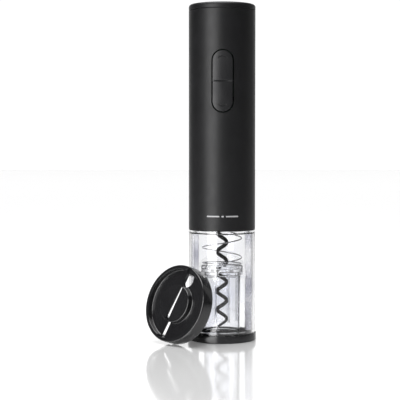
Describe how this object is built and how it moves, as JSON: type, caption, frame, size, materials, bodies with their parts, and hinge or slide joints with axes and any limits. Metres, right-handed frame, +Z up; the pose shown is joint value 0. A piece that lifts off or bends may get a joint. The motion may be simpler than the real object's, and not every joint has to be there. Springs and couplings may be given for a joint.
{
  "type": "electric wine opener",
  "caption": "Slim upright battery corkscrew with a rocker switch, clear cork sleeve, sliding guide and powered worm, with a round two-jaw foil cutter leaning on it.",
  "frame": {"origin": "on the opener's axis, at the underside of the base ring, where it stands and where the bottle's neck goes in", "axes": "+Z up along the opener's axis, towards the battery lid; -Y is the side with the rocker; +X completes the right-handed frame"},
  "size_m": [0.0831, 0.0725, 0.253],
  "materials": {
    "body_black": "matte",
    "rocker_black": "satin",
    "ring_black": "gloss",
    "cutter_black": "gloss",
    "clear_plastic": "clear",
    "worm_black": "satin",
    "steel": "brushed",
    "spring_steel": "polished",
    "dark_plastic": "matte",
    "nylon": "satin",
    "brass": "satin",
    "copper": "enamelled wire and steel core",
    "magnet": "matte",
    "board_green": "satin",
    "cell_wrap": "satin",
    "rubber_black": "matte",
    "wire_red": "satin"
  },
  "bodies": {
    "housing": {"outer_shell": "body_black", "battery_box": "dark_plastic", "cell_1": "cell_wrap", "cell_2": "cell_wrap", "cell_3": "cell_wrap", "cell_4": "cell_wrap", "battery_springs": "spring_steel", "battery_contacts": "steel", "circuit_board": "board_green", "board_screws": "steel", "switch_up": "dark_plastic", "switch_down": "dark_plastic", "rocker_pin": "steel", "motor_can": "steel", "motor_end_cap": "dark_plastic", "motor_magnets": "magnet", "motor_screws": "steel", "gearbox_housing": "nylon", "gearbox_cover": "steel", "gearbox_screws": "steel", "front_bulkhead": "dark_plastic", "output_bush": "brass", "thrust_washer": "nylon", "return_spring": "spring_steel", "clear_sleeve": "clear_plastic", "base_ring": "ring_black", "wires": "wire_red"},
    "lid": {"top_lid": "body_black", "lid_contact_plate": "steel", "lid_seal": "rubber_black"},
    "rocker": {"rocker_button": "rocker_black"},
    "upper_plunger": {"plunger_up": "nylon"},
    "lower_plunger": {"plunger_down": "nylon"},
    "rotor": {"armature": "copper", "motor_shaft": "steel"},
    "first_carrier": {"carrier_1": "steel"},
    "output": {"carrier_2": "steel", "worm": "worm_black", "worm_hub": "dark_plastic", "hub_set_screw": "steel"},
    "guide": {"cork_guide": "clear_plastic", "guide_plate": "clear_plastic"},
    "cutter": {"cutter_jaw_fixed": "cutter_black", "cutter_hinge_pin": "steel", "cutter_spring": "spring_steel", "wheel_pins_fixed": "steel"},
    "cutter_jaw": {"cutter_jaw_moving": "cutter_black", "wheel_pins_moving": "steel"},
    "planet_1a": {"planet_1a": "nylon"},
    "planet_1b": {"planet_1b": "nylon"},
    "planet_1c": {"planet_1c": "nylon"},
    "planet_2a": {"planet_2a": "nylon"},
    "planet_2b": {"planet_2b": "nylon"},
    "planet_2c": {"planet_2c": "nylon"},
    "wheel_1": {"cutter_wheel_1": "steel"},
    "wheel_2": {"cutter_wheel_2": "steel"},
    "wheel_3": {"cutter_wheel_3": "steel"},
    "wheel_4": {"cutter_wheel_4": "steel"}
  },
  "joints": [
    {"name": "worm_spin", "type": "hinge", "parent": "housing", "child": "output", "pos_m": [0, 0, 0.1], "axis": [0, 0, 1], "continuous": true},
    {"name": "first_carrier_spin", "type": "hinge", "parent": "housing", "child": "first_carrier", "pos_m": [0, 0, 0.1208], "axis": [0, 0, 1], "continuous": true},
    {"name": "rotor_spin", "type": "hinge", "parent": "housing", "child": "rotor", "pos_m": [0, 0, 0.145], "axis": [0, 0, 1], "continuous": true},
    {"name": "planet_1a_spin", "type": "hinge", "parent": "first_carrier", "child": "planet_1a", "pos_m": [0.009, 0, 0.1261], "axis": [0, 0, 1], "continuous": true},
    {"name": "planet_1b_spin", "type": "hinge", "parent": "first_carrier", "child": "planet_1b", "pos_m": [-0.0045, 0.00779, 0.1261], "axis": [0, 0, 1], "continuous": true},
    {"name": "planet_1c_spin", "type": "hinge", "parent": "first_carrier", "child": "planet_1c", "pos_m": [-0.0045, -0.00779, 0.1261], "axis": [0, 0, 1], "continuous": true},
    {"name": "planet_2a_spin", "type": "hinge", "parent": "output", "child": "planet_2a", "pos_m": [0.009, 0, 0.1167], "axis": [0, 0, 1], "continuous": true},
    {"name": "planet_2b_spin", "type": "hinge", "parent": "output", "child": "planet_2b", "pos_m": [-0.0045, 0.00779, 0.1167], "axis": [0, 0, 1], "continuous": true},
    {"name": "planet_2c_spin", "type": "hinge", "parent": "output", "child": "planet_2c", "pos_m": [-0.0045, -0.00779, 0.1167], "axis": [0, 0, 1], "continuous": true},
    {"name": "guide_slide", "type": "slide", "parent": "housing", "child": "guide", "axis": [0, 0, 1], "range_m": [0, 0.038], "stiffness_N_per_m": 150, "springref_m": -0.005, "deforming": ["return_spring"]},
    {"name": "rocker_tilt", "type": "hinge", "parent": "housing", "child": "rocker", "pos_m": [0, -0.0205, 0.1938], "axis": [1, 0, 0], "range_deg": [-2.5, 2.5], "stiffness_Nm_per_rad": 0.4},
    {"name": "upper_plunger_press", "type": "slide", "parent": "housing", "child": "upper_plunger", "axis": [0, 1, 0], "range_m": [0, 0.00025], "stiffness_N_per_m": 800},
    {"name": "lower_plunger_press", "type": "slide", "parent": "housing", "child": "lower_plunger", "axis": [0, 1, 0], "range_m": [0, 0.00025], "stiffness_N_per_m": 800},
    {"name": "lid_lift", "type": "slide", "parent": "housing", "child": "lid", "axis": [0, 0, 1], "range_m": [0, 0.04]},
    {"name": "cutter_away", "type": "slide", "parent": "housing", "child": "cutter", "axis": [-0.6871, -0.7266, 0], "range_m": [0, 0.06]},
    {"name": "jaw_squeeze", "type": "hinge", "parent": "cutter", "child": "cutter_jaw", "pos_m": [-0.02114, -0.02282, 0.05266], "axis": [0.6549, 0.6926, -0.3024], "range_deg": [0, 3.6], "stiffness_Nm_per_rad": 0.15},
    {"name": "wheel_1_spin", "type": "hinge", "parent": "cutter", "child": "wheel_1", "pos_m": [-0.03538, -0.0101, 0.04203], "axis": [-0.6549, -0.6926, 0.3024], "continuous": true},
    {"name": "wheel_2_spin", "type": "hinge", "parent": "cutter", "child": "wheel_2", "pos_m": [-0.04426, -0.0099, 0.02326], "axis": [-0.6549, -0.6926, 0.3024], "continuous": true},
    {"name": "wheel_3_spin", "type": "hinge", "parent": "cutter_jaw", "child": "wheel_3", "pos_m": [-0.02578, -0.03129, 0.01429], "axis": [-0.6549, -0.6926, 0.3024], "continuous": true},
    {"name": "wheel_4_spin", "type": "hinge", "parent": "cutter_jaw", "child": "wheel_4", "pos_m": [-0.0169, -0.03149, 0.03306], "axis": [-0.6549, -0.6926, 0.3024], "continuous": true}
  ],
  "couplings": [
    {"joint": "first_carrier_spin", "follows": "worm_spin", "ratio": 5},
    {"joint": "rotor_spin", "follows": "worm_spin", "ratio": 25},
    {"joint": "planet_2a_spin", "follows": "worm_spin", "ratio": -2.6667},
    {"joint": "planet_2b_spin", "follows": "worm_spin", "ratio": -2.6667},
    {"joint": "planet_2c_spin", "follows": "worm_spin", "ratio": -2.6667},
    {"joint": "planet_1a_spin", "follows": "worm_spin", "ratio": -13.333},
    {"joint": "planet_1b_spin", "follows": "worm_spin", "ratio": -13.333},
    {"joint": "planet_1c_spin", "follows": "worm_spin", "ratio": -13.333}
  ]
}
